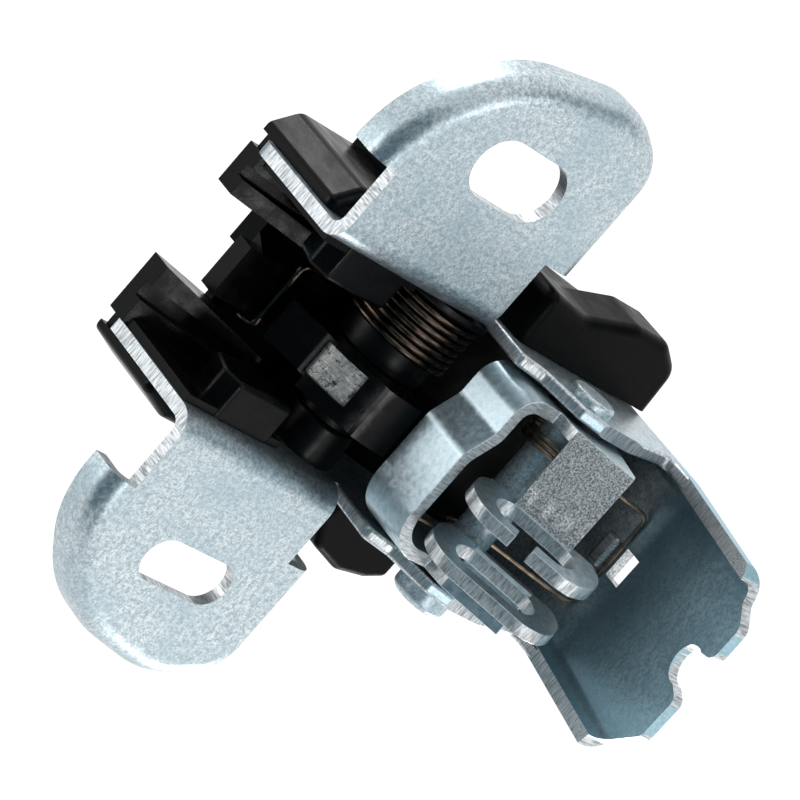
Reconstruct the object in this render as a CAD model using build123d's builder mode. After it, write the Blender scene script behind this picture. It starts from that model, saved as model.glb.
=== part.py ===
from build123d import *
import math
import os

# Rear door latch on a pressed steel bracket, in millimetres.
# X runs along the mounting wings, +Y through the bracket to its rear, +Z up out of the channel.
# The origin lies midway between the two mounting slots, on the face of the wings that seats.

# Pressed bracket
SHEET = 2.4
BEND_IN = 2.0
BEND_OUT = BEND_IN + SHEET
CHANNEL_IN = 18.0
CHANNEL_OUT = CHANNEL_IN + SHEET
WALL_REAR = 28.0
WALL_TOP = 24.8
WING_FOOT = -16.0
WEB_TOP = -55.0
WEB_REAR = 8.0
TONGUE_BEND_Y = -24.0
TONGUE_END_Y = -57.8
TONGUE_RISE = 11.6
LIP_DEPTH = 8.0
LIP_START = 33.0
SLOT_X = 42.25
RIGHT_SLOT_Z = 2.3
LEFT_SLOT_Z = 0.7
RIGHT_SLOT = (21.2, 11.4)
LEFT_SLOT = (20.6, 8.7)
NOTCH_AT = (1.2, -53.2)
NOTCH_R = 3.6
WINDOW = (5.8, 3.8)
WINDOW_AT = (0.9, -22.6)

# Pivots, given as (Y, Z), and their pins
LEVER_PIVOT = (-13.8, -30.6)
CLAW_PIVOT = (12.5, -13.0)
LEVER_PIN_R = 3.5
CLAW_PIN_R = 4.0
RUNNING = 0.06

# Release lever
LEVER_SHEET = 2.4
LEVER_OUT = 17.2
LEVER_BEND = 4.6
LEVER_SHOULDER = 7.5
LEVER_TOP = -13.0
LEVER_STEP = 2.7
STEP_START = 3.0
STEP_END = 8.5
LEVER_FRONT = -16.0
LEVER_CATCH = -4.2
RAMP_ANGLE = 41.8
RAMP_TOP = (-20.7, -25.1)
RAMP_LENGTH = 12.0
EAR_LENGTH = 26.0
EAR_REACH = 14.5
EAR_TOE = 8.0
EAR_SLOT = (16.5, 8.2)
EAR_ROOT = (-23.25, -30.8)
RIGHT_EAR_X = 1.8
LEFT_EAR_X = -8.3
EAR_BREAK = 3.6

# Claw, in the plane of its pivot
CLAW_LEFT = -5.8
CLAW_RIGHT = 2.2
CLAW_COAT = 0.8
CLAW_RIM = 15.4
CLAW_TOOTH = 16.2
JAW_FRONT = 11.3
JAW_REAR = 15.2
JAW_FOOT = 15.6
JAW_TOP = 27.3
JAW_RIGHT = 4.3
JAW_FLARE = 2.0
RIM_END = 98
BARE = (103, 138)
BLOCK_LEFT = -7.8

# Guides, left and right of the striker's path
GUIDE_REAR = 31.0
GUIDE_FRONT = 26.6
GUIDE_TOP = 23.2
GUIDE_FOOT = 2.0
GUIDE_SLOPE = 0.49
LINER = 1.5
GROOVE = 1.6
CAP_SHOULDER = 3.0
CAP_CREST = 1.4
CAP_EDGE = 2.0
BOSS_FRONT = 4.6
BOSS_REAR = 14.0
BOSS_FOOT = 1.5

# Springs
CLAW_WIRE_R = 0.65
CLAW_COIL_R = 9.8
CLAW_TURNS = 6.75
CLAW_COIL_X = 6.6
CLAW_PITCH = 1.36
SPOOL_FLANGE = 1.4
LEVER_WIRE_R = 0.4
LEVER_COIL_R = 5.2
LEVER_TURNS = 3.0
LEVER_COIL_X = 9.9
LEVER_PITCH = 0.9
COIL_STEPS = 20

# Rear and side covers
COVER_WALL = 2.0
COVER_GAP = 0.3
FLANK_REACH = 30.2
FLANK_TOP = 2.7
FOOT_LUMP = (3.0, 14.5)
LUMP_EDGE = 1.4
POD_REAR_DEPTH = 8.0
POD_LOBE = 10.0
POD_EDGE = 2.0

os.makedirs("parts", exist_ok=True)


def write(part, label):
    part.label = label
    export_step(part, f"parts/{label}.step")
    print(label, "solids", len(part.solids()), "volume", round(part.volume, 1))


def polar(radius, degrees):
    turn = math.radians(degrees)
    return (radius * math.cos(turn), radius * math.sin(turn))


def box_between(low, high, mode=Mode.ADD):
    """A block given by its lowest and highest corners."""
    size = [b - a for a, b in zip(low, high)]
    middle = [(a + b) / 2 for a, b in zip(low, high)]
    with Locations(tuple(middle)):
        Box(*size, mode=mode)


def disc_across(pivot, radius, start, end, mode=Mode.ADD):
    """A cylinder along X from start to end, on a pivot given as (Y, Z)."""
    with BuildSketch(Plane.YZ.offset(start)) as disc:
        with Locations(pivot):
            Circle(radius)
    extrude(disc.sketch, amount=end - start, mode=mode)


# Wings of the bracket: a flat band beside the wall, then a dished end with a turned lip
def wing_outline(start, top, foot, corners):
    """The outer line of a wing's dished end, with corners given as (X, Z, radius)."""
    points = [(start, top)] + [(x, z) for x, z, radius in corners] + [(start, foot)]
    FilletPolyline(*points, radius=[radius for x, z, radius in corners])
    Line(points[-1], points[0])


def make_wing(band_top, band_foot, outline, slot_z, slot):
    """One wing with its bend, lip and mounting slot, on the right-hand side."""
    with BuildPart() as dish:
        with BuildSketch(Plane.XZ.offset(-LIP_DEPTH)):
            with BuildLine():
                wing_outline(LIP_START - 4.0, *outline)
            make_face()
        extrude(amount=LIP_DEPTH)
        rim = dish.faces().sort_by(Axis.Y)[0].edges()
        fillet(rim.filter_by(lambda e: e.center().X > LIP_START - 3.9), BEND_OUT)
    with BuildPart() as hollow:
        with BuildSketch(Plane.XZ.offset(-LIP_DEPTH - 1.0)):
            with BuildLine():
                wing_outline(LIP_START - 12.0, *outline)
            make_face()
            offset(amount=-SHEET)
        extrude(amount=LIP_DEPTH + 1.0 - SHEET)
        rim = hollow.faces().sort_by(Axis.Y)[0].edges()
        fillet(rim.filter_by(lambda e: e.center().X > LIP_START - 9.5), BEND_IN)
    with BuildPart() as wing:
        add(dish.part)
        add(hollow.part, mode=Mode.SUBTRACT)
        box_between((0.0, -1.0, -60.0), (LIP_START, 20.0, 60.0), mode=Mode.SUBTRACT)
        with BuildSketch(Plane.XY.offset(band_foot)):
            with BuildLine():
                outer = CenterArc((CHANNEL_IN + BEND_OUT, BEND_OUT), BEND_OUT, 270, -90)
                inner = CenterArc((CHANNEL_IN + BEND_OUT, BEND_OUT), BEND_IN, 270, -90)
                Polyline(outer @ 0, (LIP_START, 0), (LIP_START, SHEET), inner @ 0)
                Line(outer @ 1, inner @ 1)
            make_face()
        extrude(amount=band_top - band_foot)
        with BuildSketch(Plane.XZ.offset(1.0)):
            with Locations((SLOT_X, slot_z)):
                SlotOverall(slot[0], slot[1], rotation=90)
        extrude(amount=-SHEET - 2.0, mode=Mode.SUBTRACT)
    return wing.part


right_corners = [(42.9, 29.2, 24.0), (58.2, 13.9, 30.0), (62.6, -12.2, 16.0), (56.2, -24.0, 9.0)]
left_corners = [(42.8, 27.2, 22.0), (59.1, 13.6, 28.0), (63.0, -9.9, 20.0), (56.8, -23.8, 10.0)]
right_wing = make_wing(WALL_TOP, WING_FOOT + 0.4, (29.2, -24.0, right_corners), RIGHT_SLOT_Z, RIGHT_SLOT)
left_wing = make_wing(WALL_TOP - 2.0, WING_FOOT - 0.6, (27.1, -23.8, left_corners), LEFT_SLOT_Z, LEFT_SLOT)
left_wing = mirror(left_wing, Plane.YZ)

# Mounting bracket: the channel is the side outline less its inside, so walls and web are one sheet
tongue_slope = TONGUE_RISE / (TONGUE_BEND_Y - TONGUE_END_Y)
tongue_drop = SHEET * math.hypot(1.0, tongue_slope)
tongue_end_z = WEB_TOP + TONGUE_RISE
side_outline = [
    (WALL_REAR, WALL_TOP),
    (BEND_OUT, WALL_TOP),
    (BEND_OUT, WING_FOOT - 1.5),
    (-8.0, WING_FOOT - 1.0),
    (-10.5, -22.0),
    (-18.0, -26.0),
    (-20.2, -30.0),
    (-20.2, -41.0),
    (-17.5, -51.0),
    (TONGUE_BEND_Y, WEB_TOP + 4.0),
    (TONGUE_END_Y, tongue_end_z + 3.2),
    (TONGUE_END_Y, tongue_end_z - tongue_drop),
    (TONGUE_BEND_Y, WEB_TOP - SHEET),
    (WEB_REAR, WEB_TOP - SHEET),
    (WEB_REAR + 4.0, WEB_TOP + 6.0),
    (WALL_REAR, -16.0),
]
channel_inside = [
    (WALL_REAR + 5.0, WALL_TOP + 5.0),
    (TONGUE_END_Y - 5.0, WALL_TOP + 5.0),
    (TONGUE_END_Y - 5.0, tongue_end_z + 5.0 * tongue_slope),
    (TONGUE_BEND_Y, WEB_TOP),
    (WALL_REAR + 5.0, WEB_TOP),
]
tongue_end = [
    (-CHANNEL_OUT - 1, -44.0, 0),
    (-CHANNEL_OUT - 1, -49.0, 0.5),
    (-18.2, -49.8, 1.5),
    (-14.0, -54.6, 1.5),
    (-11.6, -57.3, 1.6),
    (-3.4, -57.5, 1.8),
    (NOTCH_AT[0] - 3.2, NOTCH_AT[1], 0.4),
    (NOTCH_AT[0] + 3.2, NOTCH_AT[1], 0.4),
    (5.4, -57.7, 2.2),
    (12.2, -57.7, 2.4),
    (15.2, -53.4, 2.0),
    (19.0, -52.0, 2.4),
    (CHANNEL_OUT + 1, -49.6, 0.5),
    (CHANNEL_OUT + 1, -44.0, 0),
]

with BuildPart() as mounting_bracket:
    with BuildSketch(Plane.YZ.offset(-CHANNEL_OUT)):
        with BuildLine():
            Polyline(*side_outline, close=True)
        make_face()
    extrude(amount=2 * CHANNEL_OUT)
    with BuildSketch(Plane.YZ.offset(-CHANNEL_IN)):
        with BuildLine():
            Polyline(*channel_inside, close=True)
        make_face()
    extrude(amount=2 * CHANNEL_IN, mode=Mode.SUBTRACT)

    across = mounting_bracket.edges().filter_by(Axis.X)
    fillet(across.filter_by(lambda e: -19.0 < e.center().Y < -5.0 and e.center().Z > -52.0), 1.5)
    across = mounting_bracket.edges().filter_by(Axis.X)
    fillet(across.filter_by(lambda e: e.center().Y > 27.0 and e.center().Z > 20.0), 3.0)
    across = mounting_bracket.edges().filter_by(Axis.X)
    web_bend = across.filter_by(lambda e: abs(e.center().Y - TONGUE_BEND_Y) < 0.5)
    fillet(web_bend.filter_by(lambda e: e.center().Z < WEB_TOP + 1.0), 10.0)

    def under_tongue(edge, above_web):
        """Whether an edge lies below a height over the web or, past its bend, over the tongue."""
        past_bend = min(0.0, edge.center().Y - TONGUE_BEND_Y)
        return edge.center().Z < WEB_TOP + above_web - tongue_slope * past_bend

    def long_edges(edges):
        """The edges that run along the channel."""
        return edges.filter_by(lambda e: abs(e.tangent_at(0.5).Z) < 0.5 and e.length > 2.5)

    outer_edges = long_edges(mounting_bracket.edges()).filter_by(
        lambda e: abs(e.center().X) > CHANNEL_OUT - 0.1)
    fillet(outer_edges.filter_by(lambda e: under_tongue(e, -2.0) and e.center().Z < -45.0), BEND_OUT)
    inner_edges = long_edges(mounting_bracket.edges()).filter_by(
        lambda e: abs(abs(e.center().X) - CHANNEL_IN) < 0.1)
    fillet(inner_edges.filter_by(lambda e: under_tongue(e, 0.6)), BEND_IN)

    add(right_wing)
    add(left_wing)
    box_between((-CHANNEL_OUT - 1, BEND_OUT, WALL_TOP - 2.0), (-CHANNEL_IN + 1, WALL_REAR + 1, WALL_TOP + 1),
                mode=Mode.SUBTRACT)

    with BuildSketch(Plane.XY.offset(WEB_TOP - 10.0)):
        with Locations((0, -54.0)):
            Rectangle(2 * CHANNEL_OUT + 1.8, 20.0)
        with BuildLine():
            FilletPolyline(*[(x, y) for x, y, radius in tongue_end],
                           radius=[radius for x, y, radius in tongue_end[1:-1]])
            Line(tongue_end[-1][:2], tongue_end[0][:2])
        make_face(mode=Mode.SUBTRACT)
        with Locations(NOTCH_AT):
            Circle(NOTCH_R)
    extrude(amount=30.0, mode=Mode.SUBTRACT)

    with BuildSketch(Plane.XY.offset(WEB_TOP - 10.0)):
        with Locations(WINDOW_AT):
            Rectangle(*WINDOW)
    extrude(amount=12.0, mode=Mode.SUBTRACT)
    disc_across(LEVER_PIVOT, LEVER_PIN_R, -30.0, 30.0, mode=Mode.SUBTRACT)
    disc_across(CLAW_PIVOT, CLAW_PIN_R, -30.0, 30.0, mode=Mode.SUBTRACT)

    # The lanced stop that keeps the lever spring from sliding back
    box_between((WINDOW_AT[0] - 3.2, -19.4, WEB_TOP - 0.5), (WINDOW_AT[0] + 3.2, -16.4, WEB_TOP + 1.9))
    lance = mounting_bracket.edges().filter_by(lambda e: -19.6 < e.center().Y < -16.2
                                               and e.center().Z > WEB_TOP + 0.5)
    fillet(lance, 0.7)
write(mounting_bracket.part, "mounting_bracket")

# Release lever: a saddle over the pin, whose ramp carries two slotted ears for the release rod
ramp_down = (-math.cos(math.radians(RAMP_ANGLE)), -math.sin(math.radians(RAMP_ANGLE)))
ramp_out = (ramp_down[1], -ramp_down[0])
ramp_foot = (RAMP_TOP[0] + RAMP_LENGTH * ramp_down[0], RAMP_TOP[1] + RAMP_LENGTH * ramp_down[1])
ramp_under = [
    (RAMP_TOP[0] - LEVER_SHEET * ramp_out[0], RAMP_TOP[1] - LEVER_SHEET * ramp_out[1]),
    (ramp_foot[0] - LEVER_SHEET * ramp_out[0], ramp_foot[1] - LEVER_SHEET * ramp_out[1]),
]
arm_outline = [
    (LEVER_CATCH, LEVER_TOP),
    (LEVER_FRONT, LEVER_TOP),
    (LEVER_FRONT, -24.4),
    RAMP_TOP,
    ramp_foot,
    ramp_under[1],
    (-17.0, -38.6),
    (-10.5, -38.0),
    (-6.6, -31.0),
    (LEVER_CATCH, -20.0),
]
step_low = LEVER_TOP - LEVER_STEP
saddle_outer = [
    (-LEVER_OUT, -50.0),
    (-LEVER_OUT, LEVER_TOP),
    (STEP_START, LEVER_TOP),
    (STEP_END, step_low),
    (LEVER_OUT, step_low),
    (LEVER_OUT, -50.0),
]
saddle_inner = [
    (-LEVER_OUT + LEVER_SHEET, -51.0),
    (-LEVER_OUT + LEVER_SHEET, LEVER_TOP - LEVER_SHEET),
    (STEP_START - 0.6, LEVER_TOP - LEVER_SHEET),
    (STEP_END - 0.6, step_low - LEVER_SHEET),
    (LEVER_OUT - LEVER_SHEET, step_low - LEVER_SHEET),
    (LEVER_OUT - LEVER_SHEET, -51.0),
]


def ear_plane(ear_x):
    """The plane of an ear's right face: x along the ear, y out from the ramp."""
    toe = math.radians(EAR_TOE)
    along = Vector(0, -ramp_down[0], -ramp_down[1])
    out = Vector(-math.sin(toe), ramp_out[0] * math.cos(toe), ramp_out[1] * math.cos(toe))
    return Plane(origin=(ear_x, *EAR_ROOT), x_dir=along, z_dir=along.cross(out))


with BuildPart() as release_lever:
    with BuildSketch(Plane.YZ.offset(-LEVER_OUT)):
        with BuildLine():
            Polyline(*arm_outline, close=True)
        make_face()
    extrude(amount=2 * LEVER_OUT)
    with BuildSketch(Plane.XZ.offset(40.0)):
        Rectangle(80.0, 120.0)
        with BuildLine():
            FilletPolyline(*saddle_outer, radius=[LEVER_SHOULDER, 4.0, 4.0, LEVER_BEND])
            Line(saddle_outer[-1], saddle_outer[0])
        make_face(mode=Mode.SUBTRACT)
    extrude(amount=-60.0, mode=Mode.SUBTRACT)
    with BuildSketch(Plane.XZ.offset(40.0)):
        with BuildLine():
            FilletPolyline(*saddle_inner,
                           radius=[LEVER_SHOULDER - LEVER_SHEET, 4.0, 4.0, LEVER_BEND - LEVER_SHEET])
            Line(saddle_inner[-1], saddle_inner[0])
        make_face()
    extrude(amount=-60.0, mode=Mode.SUBTRACT)
    for low_x, high_x in ((RIGHT_EAR_X - 1.2, LEVER_OUT), (-LEVER_OUT, LEFT_EAR_X)):
        with BuildSketch(Plane.YZ.offset(low_x)):
            with BuildLine():
                Polyline(RAMP_TOP, ramp_foot, ramp_under[1], ramp_under[0], close=True)
            make_face()
        extrude(amount=high_x - low_x)
    for ear_x in (RIGHT_EAR_X, LEFT_EAR_X):
        with BuildSketch(ear_plane(ear_x)):
            with Locations((0, (EAR_REACH - 1.0) / 2)):
                RectangleRounded(EAR_LENGTH, EAR_REACH + 1.0, 7.0)
            with Locations((0, -0.2)):
                Rectangle(EAR_LENGTH, 1.6, mode=Mode.SUBTRACT)
            with Locations((0, EAR_REACH / 2)):
                SlotOverall(*EAR_SLOT, mode=Mode.SUBTRACT)
            if ear_x == RIGHT_EAR_X:
                with Locations((0.6, EAR_REACH)):
                    Rectangle(EAR_BREAK, 7.0, mode=Mode.SUBTRACT)
        extrude(amount=-LEVER_SHEET)
    disc_across(LEVER_PIVOT, LEVER_PIN_R + RUNNING, -30.0, 30.0, mode=Mode.SUBTRACT)
write(release_lever.part, "release_lever")

# Lever pin: a shouldered rivet, high-headed on the left
with BuildPart() as lever_pin:
    disc_across(LEVER_PIVOT, LEVER_PIN_R, -CHANNEL_OUT - 0.5, CHANNEL_OUT + 0.5)
    disc_across(LEVER_PIVOT, 5.1, -CHANNEL_OUT - 3.4, -CHANNEL_OUT)
    disc_across(LEVER_PIVOT, 4.3, CHANNEL_OUT, CHANNEL_OUT + 1.6)
    fillet(lever_pin.faces().sort_by(Axis.X)[0].edges(), 1.4)
    fillet(lever_pin.faces().sort_by(Axis.X)[-1].edges(), 0.7)
write(lever_pin.part, "lever_pin")

for side, label in ((-1, "left_lever_washer"), (1, "right_lever_washer")):
    near, far = sorted((side * (LEVER_OUT + 0.05), side * CHANNEL_IN))
    with BuildPart() as washer:
        disc_across(LEVER_PIVOT, 5.6, near, far)
        disc_across(LEVER_PIVOT, LEVER_PIN_R, near, far, mode=Mode.SUBTRACT)
    write(washer.part, label)

# Claw pin, its left bush and the spool that the coil sits on
with BuildPart() as claw_pin:
    disc_across(CLAW_PIVOT, CLAW_PIN_R, -CHANNEL_OUT - 0.5, CHANNEL_OUT + 0.5)
    disc_across(CLAW_PIVOT, 5.6, -CHANNEL_OUT - 1.8, -CHANNEL_OUT)
    disc_across(CLAW_PIVOT, 5.6, CHANNEL_OUT, CHANNEL_OUT + 1.8)
    fillet(claw_pin.faces().sort_by(Axis.X)[0].edges(), 0.8)
    fillet(claw_pin.faces().sort_by(Axis.X)[-1].edges(), 0.8)
write(claw_pin.part, "claw_pin")

with BuildPart() as claw_bush:
    disc_across(CLAW_PIVOT, 6.4, -CHANNEL_IN, -11.0)
    disc_across(CLAW_PIVOT, 5.4, -11.0, CLAW_LEFT - 0.25)
    fillet(claw_bush.edges().filter_by(lambda e: abs(e.center().X + 11.0) < 0.05 and e.radius > 6.0), 0.8)
    disc_across(CLAW_PIVOT, CLAW_PIN_R, -30.0, 0.0, mode=Mode.SUBTRACT)
write(claw_bush.part, "claw_bush")

with BuildPart() as spring_spool:
    disc_across(CLAW_PIVOT, 8.6, CLAW_RIGHT + 0.25, CHANNEL_IN - SPOOL_FLANGE)
    disc_across(CLAW_PIVOT, 11.2, CHANNEL_IN - SPOOL_FLANGE, CHANNEL_IN)
    fillet(spring_spool.edges().filter_by(lambda e: abs(e.center().X - CHANNEL_IN + SPOOL_FLANGE) < 0.05
                                          and e.radius > 10.0), 0.6)
    disc_across(CLAW_PIVOT, CLAW_PIN_R, 0.0, 30.0, mode=Mode.SUBTRACT)
write(spring_spool.part, "spring_spool")


# Claw: a steel plate with a moulded coat, bare on the stretch of rim that the lever wears
def claw_plane(x):
    """The claw's own plane at a distance along the pivot: Y across, Z up, from the pivot."""
    return Plane(origin=(x, *CLAW_PIVOT), x_dir=(0, 1, 0), z_dir=(1, 0, 0))


def arc_about(radius, start, end):
    """An arc about the pivot, between two directions in degrees."""
    ThreePointArc(polar(radius, start), polar(radius, (start + end) / 2), polar(radius, end))


def claw_profile(grow):
    """The claw's outline about its pivot. The coat's outline is the plate's, grown."""
    rim = CLAW_RIM - CLAW_COAT + grow
    tooth = CLAW_TOOTH - CLAW_COAT + grow
    arc_about(tooth, 203, 152)
    Line(polar(tooth, 152), polar(rim, 150))
    arc_about(rim, 150, RIM_END)
    Polyline(
        polar(rim, RIM_END),
        (3.6 + grow, 18.1 + grow),
        (7.4, 14.2 + grow),
        (JAW_FRONT + CLAW_COAT - grow, JAW_FOOT - CLAW_COAT + grow),
        (JAW_FRONT + CLAW_COAT - grow, JAW_TOP - CLAW_COAT + grow),
        (JAW_REAR - CLAW_COAT + grow, JAW_TOP - CLAW_COAT + grow),
        (14.8 + grow, 16.0),
        (13.0 + grow, 2.0),
        (7.6 + grow, -5.0 - grow),
        (0.0, -8.2 - grow),
        (-8.0, -9.4 - grow),
        polar(tooth, 203),
    )


with BuildPart() as claw_plate:
    with BuildSketch(claw_plane(CLAW_LEFT + CLAW_COAT)):
        with BuildLine():
            claw_profile(0.0)
        make_face()
        Circle(CLAW_PIN_R + 2.0, mode=Mode.SUBTRACT)
    extrude(amount=CLAW_RIGHT - CLAW_LEFT - 2 * CLAW_COAT)
write(claw_plate.part, "claw_plate")

with BuildPart() as claw_coat:
    with BuildSketch(claw_plane(CLAW_LEFT)):
        with BuildLine():
            claw_profile(CLAW_COAT)
        make_face()
    extrude(amount=CLAW_RIGHT - CLAW_LEFT)
    with BuildSketch(claw_plane(BLOCK_LEFT)):
        with BuildLine():
            arc_about(CLAW_TOOTH, 203, 152)
            Line(polar(CLAW_TOOTH, 152), polar(CLAW_RIM, 150))
            arc_about(CLAW_RIM, 150, 106)
            Line(polar(CLAW_RIM, 106), polar(9.0, 106))
            arc_about(9.0, 106, 203)
            Line(polar(9.0, 203), polar(CLAW_TOOTH, 203))
        make_face()
    extrude(amount=CLAW_LEFT - BLOCK_LEFT)
    with BuildSketch(claw_plane(0.0)):
        with Locations(((JAW_FRONT + JAW_REAR) / 2, (JAW_FOOT + JAW_TOP) / 2)):
            Rectangle(JAW_REAR - JAW_FRONT, JAW_TOP - JAW_FOOT)
    extrude(amount=JAW_RIGHT)
    with BuildSketch(Plane.XY.offset(CLAW_PIVOT[1] + JAW_FOOT)):
        with BuildLine():
            jaw_back = CLAW_PIVOT[0] + JAW_REAR
            Polyline((JAW_RIGHT, CLAW_PIVOT[0] + JAW_FRONT), (JAW_RIGHT + JAW_FLARE, jaw_back),
                     (JAW_RIGHT, jaw_back), close=True)
        make_face()
    extrude(amount=JAW_TOP - JAW_FOOT - 3.0)
    with BuildSketch(claw_plane(CLAW_LEFT + CLAW_COAT)):
        with BuildLine():
            arc_about(CLAW_RIM - 2.0, *BARE)
            arc_about(CLAW_RIM + 3.0, *BARE)
            Line(polar(CLAW_RIM - 2.0, BARE[0]), polar(CLAW_RIM + 3.0, BARE[0]))
            Line(polar(CLAW_RIM - 2.0, BARE[1]), polar(CLAW_RIM + 3.0, BARE[1]))
        make_face()
    extrude(amount=CLAW_RIGHT - CLAW_LEFT - 2 * CLAW_COAT, mode=Mode.SUBTRACT)
    add(claw_plate.part, mode=Mode.SUBTRACT)
    disc_across(CLAW_PIVOT, CLAW_PIN_R + RUNNING, -30.0, 30.0, mode=Mode.SUBTRACT)
write(claw_coat.part, "claw_coat")


def wire(points, radius):
    """Round spring wire along a line through points."""
    with BuildLine() as route:
        Polyline(*points)
    with BuildSketch(Plane(origin=route.line @ 0, z_dir=route.line % 0)) as section:
        Circle(radius)
    sweep(section.sketch, path=route.line, transition=Transition.RIGHT)


def coil_points(pivot, radius, start_x, pitch, turns, spin):
    """Points on a coil about a pivot, from the side away from the viewer; spin is 1 or -1."""
    steps = round(turns * COIL_STEPS)
    points = []
    for step in range(steps + 1):
        across, up = polar(radius, spin * step * 360 / COIL_STEPS)
        points.append((start_x + pitch * step / COIL_STEPS, pivot[0] + across, pivot[1] + up))
    return points


# Claw spring: wound on the spool, one leg hooked in front of the jaw, the other held at the rear
claw_leg_y = CLAW_PIVOT[0] + CLAW_COIL_R
hook_z = CLAW_PIVOT[1] + JAW_FOOT + CLAW_WIRE_R + 0.5
hook_y = CLAW_PIVOT[0] + JAW_FRONT - CLAW_WIRE_R - 0.5
hook_x = CLAW_LEFT - CLAW_WIRE_R - 0.5
claw_coil = coil_points(CLAW_PIVOT, CLAW_COIL_R, CLAW_COIL_X, CLAW_PITCH, CLAW_TURNS, -1)
claw_coil_end = claw_coil[-1]
with BuildPart() as claw_spring:
    wire([
        (hook_x, hook_y + 3.0, hook_z + 2.2),
        (hook_x, hook_y + 1.2, hook_z + 0.8),
        (hook_x + 1.4, hook_y, hook_z),
        (0.0, hook_y, hook_z),
        (CLAW_COIL_X - 1.6, hook_y, hook_z),
        (CLAW_COIL_X - 0.2, claw_leg_y + 0.3, hook_z - 1.4),
        (CLAW_COIL_X, claw_leg_y, hook_z - 5.0),
        (CLAW_COIL_X, claw_leg_y, CLAW_PIVOT[1] + 4.0),
        *claw_coil,
        (claw_coil_end[0], claw_coil_end[1] + 4.0, claw_coil_end[2]),
        (claw_coil_end[0], 27.0, claw_coil_end[2]),
    ], CLAW_WIRE_R)
write(claw_spring.part, "claw_spring")

# Lever spring: two coils on the pin, joined by a bar that bears on the web
lever_leg_y = LEVER_PIVOT[0] + LEVER_COIL_R
bar_y = -19.9
bar_z = WEB_TOP + LEVER_WIRE_R + 0.1
tail_x = LEVER_COIL_X + LEVER_TURNS * LEVER_PITCH
tail_z = LEVER_TOP - LEVER_STEP - LEVER_SHEET - LEVER_WIRE_R - 0.2
half_spring = [
    (tail_x, lever_leg_y, tail_z),
    (tail_x, lever_leg_y, LEVER_PIVOT[1] + 4.0),
    *coil_points(LEVER_PIVOT, LEVER_COIL_R, tail_x, -LEVER_PITCH, LEVER_TURNS, -1),
    (LEVER_COIL_X, lever_leg_y - 0.8, LEVER_PIVOT[1] - 4.0),
    (LEVER_COIL_X, bar_y + 2.5, bar_z + 5.5),
    (LEVER_COIL_X, bar_y + 0.62, bar_z + 1.37),
    (LEVER_COIL_X - 0.44, bar_y + 0.18, bar_z + 0.4),
    (LEVER_COIL_X - 1.5, bar_y, bar_z),
    (LEVER_COIL_X - 4.0, bar_y, bar_z),
]
with BuildPart() as lever_spring:
    wire(half_spring + [(-x, y, z) for x, y, z in reversed(half_spring)], LEVER_WIRE_R)
write(lever_spring.part, "lever_spring")


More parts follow.
